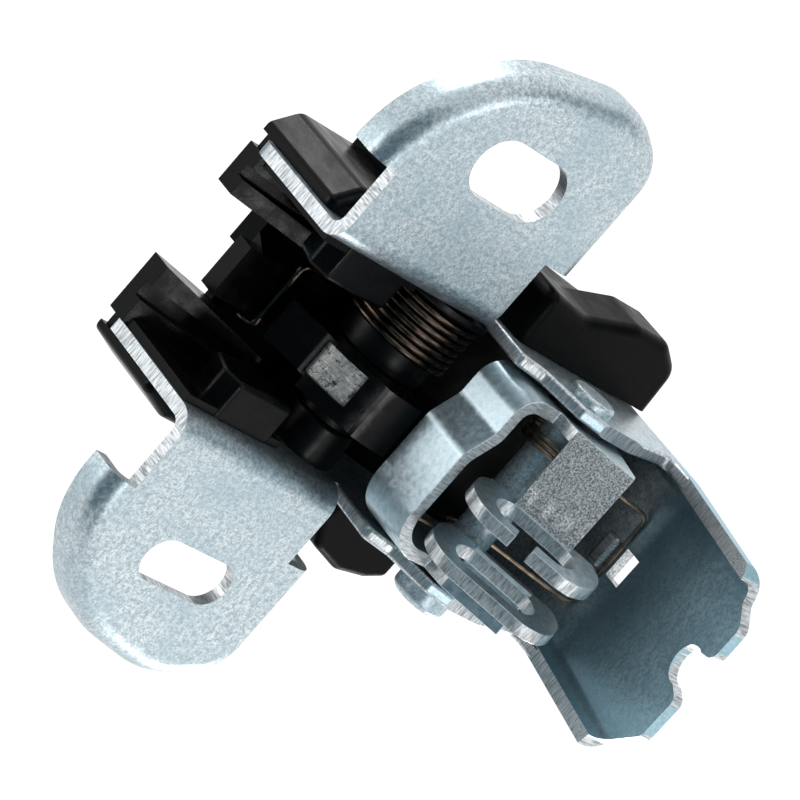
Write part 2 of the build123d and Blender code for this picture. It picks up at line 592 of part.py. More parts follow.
# Guides: one moulding round each wall tip, lining the striker's path
def make_guide(end_reach, lean, grooves, boss_reach, boss_rise, cap):
    """A guide on the right-hand side. Reaches are distances from the latch's middle."""
    inner = CHANNEL_IN - 0.05
    outer = CHANNEL_OUT + 0.2
    cap_reach, cap_front, cap_shoulder = cap
    foot_y = GUIDE_FRONT - GUIDE_SLOPE * (GUIDE_TOP - GUIDE_FOOT - 2.0)
    with BuildPart() as guide:
        with BuildSketch(Plane.XZ.offset(-GUIDE_REAR)):
            with BuildLine():
                Polyline((outer, 3.0), (cap_reach, 3.0), (cap_reach, cap_shoulder),
                         (outer + 1.6, GUIDE_TOP - 0.4), (outer, GUIDE_TOP - 0.4), close=True)
            make_face()
        extrude(amount=GUIDE_REAR - cap_front)
        shoulder = guide.edges().filter_by(Axis.Y).filter_by(lambda e: e.center().Z > 4.0)
        fillet(shoulder.filter_by(lambda e: e.center().X > outer + 2.0), CAP_SHOULDER)
        fillet(shoulder.filter_by(lambda e: outer + 1.0 < e.center().X < outer + 2.0), CAP_CREST)
        cap_face = guide.faces().sort_by(Axis.Y)[0]
        fillet(cap_face.edges().filter_by(lambda e: e.center().X > outer + 0.3), CAP_EDGE)
        with BuildSketch(Plane.YZ.offset(end_reach)):
            with BuildLine():
                Polyline((GUIDE_REAR, GUIDE_FOOT), (GUIDE_REAR, GUIDE_TOP), (GUIDE_FRONT, GUIDE_TOP),
                         (foot_y, GUIDE_FOOT + 2.0), (foot_y, GUIDE_FOOT), close=True)
            make_face()
        extrude(amount=inner - end_reach)
        for near, far in grooves:
            with BuildSketch(Plane.YZ.offset(near)):
                with BuildLine():
                    Polyline((GUIDE_FRONT - 20.0, GUIDE_TOP + 5.0), (GUIDE_FRONT + GROOVE, GUIDE_TOP + 5.0),
                             (GUIDE_FRONT + GROOVE, GUIDE_TOP), (foot_y + GROOVE, GUIDE_FOOT - 1.0),
                             (foot_y - 20.0, GUIDE_FOOT - 1.0), close=True)
                make_face()
            extrude(amount=far - near, mode=Mode.SUBTRACT)
        with BuildSketch(Plane.XZ.offset(-GUIDE_REAR - 1.0)):
            with BuildLine():
                Polyline((end_reach, GUIDE_TOP), (end_reach + lean, GUIDE_FOOT - 1.0),
                         (end_reach - 1.0, GUIDE_FOOT - 1.0), (end_reach - 1.0, GUIDE_TOP), close=True)
            make_face()
        extrude(amount=40.0, mode=Mode.SUBTRACT)
        with BuildSketch(Plane.YZ.offset(boss_reach)):
            with BuildLine():
                FilletPolyline((BOSS_REAR, BOSS_FOOT), (BOSS_FRONT, BOSS_FOOT), (BOSS_FRONT, boss_rise - 2.0),
                               (BOSS_FRONT + 3.6, boss_rise), (BOSS_REAR, boss_rise - 2.4),
                               radius=[0.8, 1.6, 1.6])
                Line((BOSS_REAR, boss_rise - 2.4), (BOSS_REAR, BOSS_FOOT))
            make_face()
        extrude(amount=inner - boss_reach)
        boss_side = guide.faces().filter_by(Axis.X).filter_by(
            lambda f: abs(f.center().X - boss_reach) < 0.05 and f.center().Y < BOSS_REAR)
        fillet(boss_side.edges().filter_by(lambda e: e.center().Y < BOSS_REAR - 0.1), 1.2)
        box_between((CHANNEL_IN - LINER, 5.0, -1.5), (inner, GUIDE_REAR, GUIDE_TOP - 1.0))
        box_between((CHANNEL_IN - LINER, WALL_REAR + 0.3, 4.0), (outer + 1.4, GUIDE_REAR, GUIDE_TOP - 2.0))
    return guide.part


right_guide = make_guide(9.6, 0.0, [(12.7, 15.0)], 11.0, 18.5, (26.3, 8.0, 18.5))
write(right_guide, "right_guide")
left_guide = make_guide(6.2, 3.3, [(10.3, 13.3)], 10.4, 17.0, (25.0, 12.0, 15.5))
left_guide = mirror(left_guide, Plane.YZ)
write(left_guide, "left_guide")

# Rear cover: a moulded shell across the back of the walls, with a flank on each side
flank = CHANNEL_OUT + COVER_GAP
with BuildPart() as rear_cover:
    with BuildSketch(Plane.YZ.offset(-flank - COVER_WALL)):
        with BuildLine():
            Polyline((31.3, 6.0), (33.3, 6.0), (33.3, -16.0), (16.0, -49.0), (12.0, -57.2), (9.7, -57.2),
                     (13.7, -49.0), (29.8, -15.8), (31.3, -15.8), close=True)
        make_face()
    extrude(amount=2 * (flank + COVER_WALL))
    box_between((flank, 9.0, -17.5), (FLANK_REACH, 33.3, FLANK_TOP))
    box_between((flank - 1.0, 11.0, -15.5), (FLANK_REACH - COVER_WALL, 31.3, FLANK_TOP - COVER_WALL),
                mode=Mode.SUBTRACT)
    box_between((-flank - COVER_WALL, 14.0, -38.0), (-flank, 33.3, 2.7))
    with BuildSketch(Plane.XZ.offset(-FOOT_LUMP[0])) as foot_lump:
        with BuildLine():
            FilletPolyline((-flank, -19.6), (-24.5, -19.0), (-29.6, -23.0), (-31.6, -30.5), (-30.6, -37.0),
                           (-28.8, -41.2), (-flank, -41.2), radius=[1.5, 3.0, 3.0, 1.0, 1.5])
            Line((-flank, -41.2), (-flank, -19.6))
        make_face()
    extrude(foot_lump.sketch, amount=FOOT_LUMP[0] - FOOT_LUMP[1])
    lump_face = rear_cover.faces().sort_by(Axis.Y)[0]
    fillet(lump_face.edges().filter_by(lambda e: e.center().X < -flank - 0.1), LUMP_EDGE)
    with BuildSketch(Plane.YZ.offset(-40.0)):
        with BuildLine():
            Polyline((33.31, -16.0), (16.0, -49.0), (40.0, -49.0), (40.0, -16.0), close=True)
        make_face()
    extrude(amount=80.0, mode=Mode.SUBTRACT)
    box_between((0.8, 31.3, 3.0), (10.2, 36.0, 7.6))
    disc_across(CLAW_PIVOT, 6.3, -CHANNEL_OUT - 2.6, CHANNEL_OUT + 2.6, mode=Mode.SUBTRACT)
write(rear_cover.part, "rear_cover")

# Side cover: a closed lobed pod on the right wall, over the place where a motor or switch would sit
with BuildPart() as side_cover:
    with BuildSketch(Plane.YZ.offset(flank)):
        with BuildLine():
            Polyline((-1.0, -19.6), (22.0, -19.0), (22.0, -30.0), (9.0, -56.0), (-1.0, -56.0), close=True)
        make_face()
    extrude(amount=POD_REAR_DEPTH)
    fillet(side_cover.edges().filter_by(Axis.X), 1.5)
    with BuildSketch(Plane.XZ.offset(3.0)) as lobe:
        with BuildLine():
            FilletPolyline((flank, -19.4), (30.8, -19.0), (29.6, -30.0), (32.9, -41.5), (33.0, -50.0),
                           (29.5, -55.8), (flank, -56.6), radius=[2.0, 7.0, 5.0, 4.5, 4.0])
            Line((flank, -56.6), (flank, -19.4))
        make_face()
    extrude(lobe.sketch, amount=-POD_LOBE)
    lobe_face = side_cover.faces().sort_by(Axis.Y)[0]
    fillet(lobe_face.edges().filter_by(lambda e: e.center().X > flank + 0.1), POD_EDGE)
write(side_cover.part, "side_cover")
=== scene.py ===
"""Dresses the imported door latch: zinc-plated pressings, moulded guides, sprung claw and release lever."""

import logging
import math
from dataclasses import dataclass, field
from enum import Enum

import bmesh
import bpy
from mathutils import Matrix, Vector
from mathutils.bvhtree import BVHTree


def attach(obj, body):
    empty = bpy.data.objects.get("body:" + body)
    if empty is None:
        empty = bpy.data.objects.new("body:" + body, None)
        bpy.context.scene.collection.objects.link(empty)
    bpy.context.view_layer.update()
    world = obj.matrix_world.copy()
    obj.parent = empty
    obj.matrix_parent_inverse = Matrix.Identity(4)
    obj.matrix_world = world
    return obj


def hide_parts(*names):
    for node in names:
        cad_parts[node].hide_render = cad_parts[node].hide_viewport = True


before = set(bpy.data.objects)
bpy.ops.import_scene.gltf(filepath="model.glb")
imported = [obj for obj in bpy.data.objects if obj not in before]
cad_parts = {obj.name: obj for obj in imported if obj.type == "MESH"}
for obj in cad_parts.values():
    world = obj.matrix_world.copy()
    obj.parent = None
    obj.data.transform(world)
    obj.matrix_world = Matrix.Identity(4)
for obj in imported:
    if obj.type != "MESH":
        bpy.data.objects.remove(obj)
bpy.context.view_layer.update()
logging.basicConfig(level=logging.INFO, format="%(message)s")
log = logging.getLogger("latch")

Socket = bpy.types.NodeSocket
Span = tuple[float, float]
Triple = tuple[float, float, float]

MM = 0.001
BRACKET = "bracket"
CLAW = "claw"
LEVER = "lever"

WHITE = (1.0, 1.0, 1.0)
STREAK_STOPS = (0.34, 0.5, 0.66)
MERGE_WITHIN = 0.002 * MM
FLAT_WITHIN = math.radians(0.8)
SHARP_FROM = math.radians(28.0)
SHEET_SLACK = 0.4 * MM
JUST_INSIDE = 0.01 * MM
EVEN_WEIGHT = 80
WIRE_SIDES = 14
BEND_STEP = 12.0


class Slot(Enum):
    """The record's material slot names; nothing here gives a piece one."""

    ZINC = "zinc_plate"
    GUIDE = "guide_plastic"
    COVER = "cover_plastic"
    CLAW_COAT = "claw_plastic"
    SPRING = "spring_steel"
    LEVER_SPRING = "lever_spring_steel"


class Mask(Enum):
    """Face attributes that a finish reads."""

    CUT = "cut_edge"
    SATIN = "satin_face"


# Shader building

class NodeTree:
    """The nodes of a material or world, with short ways to add and join them."""

    def __init__(self, owner: bpy.types.Material | bpy.types.World, keep: bool = False) -> None:
        """Takes the owner's tree.

        Args:
            owner: the material or world.
            keep: whether the nodes that it starts with stay.
        """
        owner.use_nodes = True
        self.tree = owner.node_tree
        if not keep:
            self.tree.nodes.clear()

    def node(self, kind: str, **settings: object) -> bpy.types.Node:
        """Adds a node and sets its properties.

        Args:
            kind: the node's type.
            settings: its properties by name.

        Returns:
            The node.
        """
        made = self.tree.nodes.new(kind)
        for key, value in settings.items():
            setattr(made, key, value)
        return made

    def join(self, start: Socket, end: Socket) -> None:
        """Links two sockets."""
        self.tree.links.new(start, end)

    def math(self, operation: str, first: Socket | float, second: Socket | float,
             clamp: bool = False) -> Socket:
        """A Math node on sockets or numbers.

        Args:
            operation: what it does.
            first: its first value.
            second: its second value.
            clamp: whether the result is held between zero and one.

        Returns:
            The result.
        """
        made = self.node("ShaderNodeMath", operation=operation, use_clamp=clamp)
        for socket, value in zip(made.inputs, (first, second)):
            if isinstance(value, (int, float)):
                socket.default_value = value
            else:
                self.join(value, socket)
        return made.outputs[0]

    def light(self, kind: str, tone: Triple, strength: float = 1.0) -> bpy.types.Node:
        """A Background or Emission node.

        Args:
            kind: the node's type.
            tone: its colour.
            strength: its strength.

        Returns:
            The node.
        """
        made = self.node(kind)
        made.inputs["Color"].default_value = (*tone, 1)
        made.inputs["Strength"].default_value = strength
        return made

    def seen_plainly(self) -> Socket:
        """One for rays from the camera, from reflections and through clear parts, and zero for others.

        Returns:
            The factor.
        """
        path = self.node("ShaderNodeLightPath").outputs
        seen = self.math("ADD", path["Is Camera Ray"], path["Is Glossy Ray"])
        return self.math("ADD", seen, path["Is Transmission Ray"], clamp=True)


class Shader(NodeTree):
    """A finish round one Principled shader."""

    def __init__(self, name: str) -> None:
        """Starts the material.

        Args:
            name: its name.
        """
        self.material = bpy.data.materials.new(name)
        super().__init__(self.material, keep=True)
        self.surface = self.tree.nodes["Principled BSDF"]
        self.place = self.node("ShaderNodeTexCoord").outputs["Object"]

    def stretched(self, scale: Triple) -> Socket:
        """Object coordinates scaled along each axis.

        Args:
            scale: factors along X, Y and Z.

        Returns:
            The mapped coordinates.
        """
        mapping = self.node("ShaderNodeMapping")
        mapping.inputs["Scale"].default_value = scale
        self.join(self.place, mapping.inputs["Vector"])
        return mapping.outputs["Vector"]

    def noise(self, per_mm: float, detail: float = 3.0, rough: float = 0.6, at: Socket | None = None,
              distortion: float = 0.0) -> Socket:
        """Noise with a number of cells per millimetre.

        Args:
            per_mm: cells per millimetre.
            detail: octaves.
            rough: how strongly the octaves show.
            at: coordinates, or the object's own.
            distortion: how far the cells are bent.

        Returns:
            The noise factor.
        """
        made = self.node("ShaderNodeTexNoise")
        made.inputs["Scale"].default_value = per_mm / MM
        made.inputs["Detail"].default_value = detail
        made.inputs["Roughness"].default_value = rough
        made.inputs["Distortion"].default_value = distortion
        self.join(at or self.place, made.inputs["Vector"])
        return made.outputs["Fac"]

    def ramp(self, factor: Socket, *stops: tuple[float, Triple | float]) -> Socket:
        """A colour ramp.

        Args:
            factor: what it reads.
            stops: its positions, each with a colour or grey.

        Returns:
            The colour.
        """
        made = self.node("ShaderNodeValToRGB")
        while len(made.color_ramp.elements) < len(stops):
            made.color_ramp.elements.new(1.0)
        for element, (position, colour) in zip(made.color_ramp.elements, stops):
            element.position = position
            grey = isinstance(colour, (int, float))
            element.color = (colour, colour, colour, 1) if grey else (*colour, 1)
        self.join(factor, made.inputs["Fac"])
        return made.outputs["Color"]

    def mix(self, factor: Socket | float, first: Socket | Triple | float,
            second: Socket | Triple | float) -> Socket:
        """Mixes two colours.

        Args:
            factor: the share of the second.
            first: a socket, triple or grey.
            second: another.

        Returns:
            The mixed colour.
        """
        made = self.node("ShaderNodeMix", data_type="RGBA")
        share, start, end = made.inputs[0], made.inputs[6], made.inputs[7]
        for socket, value in ((share, factor), (start, first), (end, second)):
            if isinstance(value, Socket):
                self.join(value, socket)
            elif isinstance(value, (int, float)):
                socket.default_value = value if socket.type == "VALUE" else (value, value, value, 1)
            else:
                socket.default_value = (*value, 1)
        return made.outputs[2]

    def axis(self, letter: str) -> Socket:
        """One of the object's coordinates, in metres.

        Args:
            letter: X, Y or Z.

        Returns:
            The coordinate.
        """
        made = self.node("ShaderNodeSeparateXYZ")
        self.join(self.place, made.inputs["Vector"])
        return made.outputs[letter]

    def band(self, letter: str, span: Span, soft: float) -> Socket:
        """One inside a stretch of an axis and zero outside it, with soft edges.

        Args:
            letter: the axis.
            span: where the stretch starts and ends, in millimetres.
            soft: how soft its edges are, in millimetres.

        Returns:
            The factor.
        """
        along = self.axis(letter)
        edges = []
        for limit, way in zip(span, (1, -1)):
            made = self.node("ShaderNodeMapRange", interpolation_type="SMOOTHSTEP")
            made.inputs["From Min"].default_value = (limit - way * soft) * MM
            made.inputs["From Max"].default_value = (limit + way * soft) * MM
            self.join(along, made.inputs["Value"])
            edges.append(made.outputs["Result"])
        return self.math("MULTIPLY", *edges)

    def streaks(self, zones: tuple["StreakZone", ...]) -> Socket:
        """The streaks of sheared edges, which run along Y outside the zones.

        Args:
            zones: the stretches with another direction.

        Returns:
            The streaks' height.
        """
        height = self.noise(3.0, at=self.stretched((1.0, 0.14, 1.0)))
        for zone in zones:
            other = self.noise(3.0, at=self.stretched(zone.scale))
            height = self.mix(self.band(zone.axis, zone.span, 0.4), height, other)
        return height

    def mask(self, mask: Mask) -> Socket:
        """A face attribute as a factor."""
        return self.node("ShaderNodeAttribute", attribute_name=mask.value).outputs["Fac"]

    def colour(self, value: Socket) -> None:
        """Sets the base colour."""
        self.join(value, self.surface.inputs["Base Color"])

    def roughness(self, value: Socket) -> None:
        """Sets the roughness."""
        self.join(value, self.surface.inputs["Roughness"])

    def bump(self, height: Socket, depth: float, strength: float) -> None:
        """Adds a bump to what the surface has already.

        Args:
            height: its pattern.
            depth: its depth in millimetres.
            strength: how strongly it shows.
        """
        made = self.node("ShaderNodeBump")
        made.inputs["Strength"].default_value = strength
        made.inputs["Distance"].default_value = depth * MM
        self.join(height, made.inputs["Height"])
        normal = self.surface.inputs["Normal"]
        if normal.links:
            self.join(normal.links[0].from_socket, made.inputs["Normal"])
        self.join(made.outputs["Normal"], normal)


# Finishes

@dataclass(frozen=True)
class StreakZone:
    """A stretch along an axis, in millimetres, where the shear left its streaks along another."""

    axis: str
    span: Span
    scale: Triple


@dataclass(frozen=True)
class ZincPlate:
    """Bright zinc plating over pressed sheet: mottled, with painted teal shade down the channel and tongue,
    streaked on its cut edges.
    """

    name: str = "bright zinc"
    # shade scales the mottle tones; above 1 it paints a lighter copy of the zinc for parts that sit in
    # shade.
    shade: float = 1.0
    metal: float = 0.88
    tones: tuple[Triple, ...] = ((0.35, 0.42, 0.45), (0.54, 0.62, 0.65), (0.76, 0.82, 0.84))
    tone_stops: Triple = (0.41, 0.5, 0.59)
    cloud_tone: Triple = (0.36, 0.48, 0.54)
    edge_tones: tuple[float | Triple, ...] = (0.32, (0.6, 0.64, 0.66), 0.86)
    # Painted shade: the teal tone and the Y span below tint the channel floor and tongue, which lie in
    # shade; the span also lowers the metallic there.
    tray_shade_tone: Triple = (0.3, 0.58, 0.7)
    shaded_tray_y: Span = (-80.0, -20.0)
    tray_dulling: float = 0.12
    scuff_tone: Triple = (0.8, 0.84, 0.86)
    scuffed_x: Span = (23.0, 36.0)
    zones: tuple[StreakZone, ...] = (
        StreakZone("X", (17.5, 21.0), (0.14, 1.0, 1.0)),
        StreakZone("X", (-21.0, -17.5), (0.14, 1.0, 1.0)),
        StreakZone("Y", (-70.0, -46.0), (1.0, 1.0, 0.14)),
    )

    def build(self) -> bpy.types.Material:
        """Makes the material.

        Returns:
            The zinc finish.
        """
        shader = Shader(self.name)
        cloud = shader.noise(0.1)
        spangle = shader.noise(1.1, detail=4.0, distortion=0.4)
        grain = shader.noise(2.6, detail=2.0, rough=0.7)
        mottle = shader.math("MULTIPLY", shader.math("ADD", spangle, grain), 0.5)
        # Tones scaled by shade: painted lightening wherever shade is above 1.
        tones = [tuple(part * self.shade for part in tone) for tone in self.tones]
        face = shader.ramp(mottle, *zip(self.tone_stops, tones))
        face = shader.mix(shader.ramp(cloud, (0.4, 0.0), (0.68, 0.5)), face, self.cloud_tone)
        # Painted shade: a teal tint, mixed in at 0.6, over the shaded channel floor and tongue.
        shaded_tray = shader.band("Y", self.shaded_tray_y, soft=4.0)
        face = shader.mix(shader.math("MULTIPLY", shaded_tray, 0.6), face, self.tray_shade_tone)
        crease = shader.noise(0.22, detail=2.0, rough=0.5, distortion=0.5)
        crease = shader.ramp(crease, (0.485, 0.0), (0.5, 1.0), (0.515, 0.0))
        scuff = shader.math("MULTIPLY", crease, shader.band("X", self.scuffed_x, soft=2.0))
        face = shader.mix(shader.math("MULTIPLY", scuff, 0.22), face, self.scuff_tone)
        streak = shader.streaks(self.zones)
        edge = shader.ramp(streak, *zip(STREAK_STOPS, self.edge_tones))
        cut = shader.mask(Mask.CUT)
        shader.colour(shader.mix(cut, face, edge))
        face_rough = shader.ramp(spangle, (0.3, 0.32), (0.7, 0.44))
        edge_rough = shader.ramp(streak, (0.3, 0.5), (0.7, 0.32))
        shader.roughness(shader.mix(cut, face_rough, edge_rough))
        metal = shader.mix(shaded_tray, self.metal, self.metal - self.tray_dulling)
        shader.join(metal, shader.surface.inputs["Metallic"])
        shader.bump(grain, depth=0.012, strength=0.4)
        shader.bump(spangle, depth=0.02, strength=0.4)
        shader.bump(scuff, depth=0.03, strength=0.4)
        shader.bump(shader.math("MULTIPLY", streak, cut), depth=0.06, strength=0.6)
        return shader.material


@dataclass(frozen=True)
class LeverZinc:
    """Zinc plating on the lever, whose ramp has a satin, sandy face with chatter marks at its left end."""

    name: str = "lever zinc"
    metal: float = 0.88
    tones: tuple[Triple, ...] = ((0.4, 0.52, 0.57), (0.54, 0.66, 0.71), (0.68, 0.78, 0.82))
    tone_stops: Triple = (0.3, 0.5, 0.7)
    edge_tones: tuple[float | Triple, ...] = (0.36, (0.62, 0.66, 0.68), 0.88)
    sand_tones: tuple[Triple, ...] = ((0.14, 0.15, 0.16), (0.5, 0.52, 0.53), (0.97, 0.98, 0.98))
    sand_stops: Triple = (0.38, 0.49, 0.6)
    chatter_x: Span = (2.4, 5.2)
    chatter_scale: float = 130.0
    zones: tuple[StreakZone, ...] = (
        StreakZone("Y", (-60.0, -19.0), (0.14, 1.0, 1.0)),
        StreakZone("Y", (-19.0, 0.0), (1.0, 1.0, 0.14)),
    )

    def build(self) -> bpy.types.Material:
        """Makes the material.

        Returns:
            The lever's finish.
        """
        shader = Shader(self.name)
        spangle = shader.noise(1.0, detail=4.0, distortion=0.4)
        grain = shader.noise(3.4, detail=2.0)
        sand = shader.noise(3.0, rough=0.85)
        face = shader.ramp(spangle, *zip(self.tone_stops, self.tones))
        streak = shader.streaks(self.zones)
        edge = shader.ramp(streak, *zip(STREAK_STOPS, self.edge_tones))
        satin = shader.ramp(sand, *zip(self.sand_stops, self.sand_tones))
        cut = shader.mask(Mask.CUT)
        ramp = shader.mask(Mask.SATIN)
        shader.colour(shader.mix(ramp, shader.mix(cut, face, edge), satin))
        shader.roughness(shader.mix(ramp, shader.ramp(spangle, (0.3, 0.28), (0.7, 0.4)), 0.5))
        shader.surface.inputs["Metallic"].default_value = self.metal
        chatter = shader.node("ShaderNodeTexWave", wave_type="BANDS", bands_direction="Z")
        chatter.inputs["Scale"].default_value = self.chatter_scale
        chatter.inputs["Distortion"].default_value = 3.0
        shader.join(shader.place, chatter.inputs["Vector"])
        reach = shader.math("MULTIPLY", shader.band("X", self.chatter_x, soft=0.6), ramp)
        shader.bump(grain, depth=0.012, strength=0.4)
        shader.bump(spangle, depth=0.02, strength=0.4)
        shader.bump(shader.math("MULTIPLY", sand, ramp), depth=0.12, strength=0.8)
        shader.bump(shader.math("MULTIPLY", chatter.outputs["Fac"], reach), depth=0.35, strength=0.9)
        return shader.material


@dataclass(frozen=True)
class MouldedBlack:
    """Black moulded plastic: semi-gloss, with faint flow marks and dusty wear."""

    name: str
    base: float
    rough: float
    dust: float
    texture: float
    shine: float

    def build(self) -> bpy.types.Material:
        """Makes the material.

        Returns:
            The plastic finish.
        """
        shader = Shader(self.name)
        flow = shader.noise(0.35, detail=4.0, at=shader.stretched((1.0, 0.4, 1.0)))
        fine = shader.noise(3.2)
        rub = shader.noise(0.9, detail=6.0, rough=0.75, distortion=0.4)
        base = (self.base, self.base, self.base * 1.08)
        dusty = tuple(part + self.dust for part in base)
        shader.colour(shader.mix(shader.ramp(rub, (0.52, 0.0), (0.82, 1.0)), base, dusty))
        shader.roughness(shader.ramp(flow, (0.3, self.rough - 0.08), (0.7, self.rough + 0.12)))
        shader.surface.inputs["Specular IOR Level"].default_value = self.shine
        shader.bump(fine, depth=self.texture, strength=0.5)
        shader.bump(flow, depth=0.12, strength=0.4)
        return shader.material


@dataclass(frozen=True)
class WornSteel:
    """Steel rubbed bare on the claw's rim: bright scratched patches between dark pits."""

    name: str = "worn steel"
    metal: float = 0.85
    tones: tuple[Triple, ...] = ((0.3, 0.28, 0.26), (0.56, 0.55, 0.53), (0.86, 0.85, 0.83))
    tone_stops: Triple = (0.3, 0.5, 0.7)
    rust_tone: Triple = (0.3, 0.22, 0.16)
    pit_tone: Triple = (0.05, 0.05, 0.05)

    def build(self) -> bpy.types.Material:
        """Makes the material.

        Returns:
            The worn steel.
        """
        shader = Shader(self.name)
        rub = shader.noise(0.9, detail=6.0, rough=0.7, distortion=0.8)
        scratch = shader.noise(3.5, rough=0.7, at=shader.stretched((1.0, 0.25, 0.25)))
        rust = shader.ramp(shader.noise(1.4, detail=4.0, rough=0.7), (0.5, 0.0), (0.7, 0.55))
        steel = shader.ramp(scratch, *zip(self.tone_stops, self.tones))
        steel = shader.mix(rust, steel, self.rust_tone)
        shader.colour(shader.mix(shader.ramp(rub, (0.36, 1.0), (0.46, 0.0)), steel, self.pit_tone))
        shader.roughness(shader.ramp(scratch, (0.3, 0.52), (0.7, 0.34)))
        shader.surface.inputs["Metallic"].default_value = self.metal
        shader.bump(rub, depth=0.25, strength=0.9)
        shader.bump(scratch, depth=0.1, strength=0.8)
        return shader.material


@dataclass(frozen=True)
class SpringWire:
    """Drawn spring wire, oil-dark with warm copper-coloured highlights."""

    name: str
    dark: Triple
    light: Triple
    rough: float

    def build(self) -> bpy.types.Material:
        """Makes the material.

        Returns:
            The wire's finish.
        """
        shader = Shader(self.name)
        drawn = shader.noise(0.5, detail=2.0, rough=0.5)
        shader.colour(shader.ramp(drawn, (0.35, self.dark), (0.7, self.light)))
        shader.roughness(shader.ramp(drawn, (0.3, self.rough), (0.7, self.rough + 0.15)))
        shader.surface.inputs["Metallic"].default_value = 1.0
        shader.bump(shader.noise(6.0, rough=0.55), depth=0.015, strength=0.5)
        return shader.material


# Meshes

def new_object(label: str, mesh: bmesh.types.BMesh, material: bpy.types.Material) -> bpy.types.Object:
    """Turns a bmesh into an object of the scene.

    Args:
        label: the object's name.
        mesh: its shape, which is freed.
        material: its finish.

    Returns:
        The new object.
    """
    data = bpy.data.meshes.new(label)
    mesh.to_mesh(data)
    mesh.free()
    data.materials.append(material)
    made = bpy.data.objects.new(label, data)
    bpy.context.scene.collection.objects.link(made)
    return made


def finish_object(label: str, mesh: bmesh.types.BMesh, material: bpy.types.Material,
                  body: str) -> bpy.types.Object:
    """Turns a bmesh into a smooth-shaded piece that rides on a body.

    Args:
        label: the piece's name.
        mesh: its shape, which is freed.
        material: its finish.
        body: the body it rides on.

    Returns:
        The new object.
    """
    made = new_object(label, mesh, material)
    made.data.shade_smooth()
    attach(made, body)
    log.info("%s: %d faces", label, len(made.data.polygons))
    return made


def dress_node(node: str, material: bpy.types.Material) -> None:
    """Gives a CAD node that stays in sight its finish.

    Args:
        node: the CAD node's name.
        material: its finish.
    """
    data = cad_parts[node].data
    data.materials.clear()
    data.materials.append(material)
    log.info("%s: dressed", node)


def merged(node: str) -> bmesh.types.BMesh:
    """A copy of a CAD node's mesh with its triangles joined.

    Args:
        node: the CAD node's name.

    Returns:
        The joined mesh.
    """
    mesh = bmesh.new()
    mesh.from_mesh(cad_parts[node].data)
    bmesh.ops.remove_doubles(mesh, verts=mesh.verts, dist=MERGE_WITHIN)
    bmesh.ops.dissolve_degenerate(mesh, edges=mesh.edges, dist=MERGE_WITHIN)
    return mesh


def join_flats(mesh: bmesh.types.BMesh) -> None:
    """Joins the triangles of each flat face, so that only real edges are left to break.

    Args:
        mesh: the mesh.
    """
    bmesh.ops.dissolve_limit(mesh, angle_limit=FLAT_WITHIN, verts=mesh.verts, edges=mesh.edges,
                             delimit={"NORMAL"})


def mark_cut_edges(mesh: bmesh.types.BMesh, sheet: float) -> None:
    """Marks the faces of a sheet that its shears left: those with no opposite face one sheet away.

    Args:
        mesh: a closed sheet.
        sheet: its thickness.
    """
    layer = mesh.faces.layers.float.new(Mask.CUT.value)
    mesh.normal_update()
    tree = BVHTree.FromBMesh(mesh)
    for face in mesh.faces:
        inside = face.calc_center_median() - face.normal * JUST_INSIDE
        through = tree.ray_cast(inside, -face.normal)[3]
        broad = through is not None and abs(through - sheet) < SHEET_SLACK
        face[layer] = 0.0 if broad else 1.0


def round_edges(piece: bpy.types.Object, width: float, segments: int) -> None:
    """Breaks a piece's sharp edges with a small radius.

    Args:
        piece: the object.
        width: the break's width.
        segments: how many steps it has.
    """
    bevel = piece.modifiers.new("edges", "BEVEL")
    bevel.width = width
    bevel.segments = segments
    bevel.limit_method = "ANGLE"
    bevel.angle_limit = SHARP_FROM
    bevel.use_clamp_overlap = True
    bevel.miter_outer = "MITER_ARC"
    even = piece.modifiers.new("even shading", "WEIGHTED_NORMAL")
    even.mode = "FACE_AREA"
    even.weight = EVEN_WEIGHT


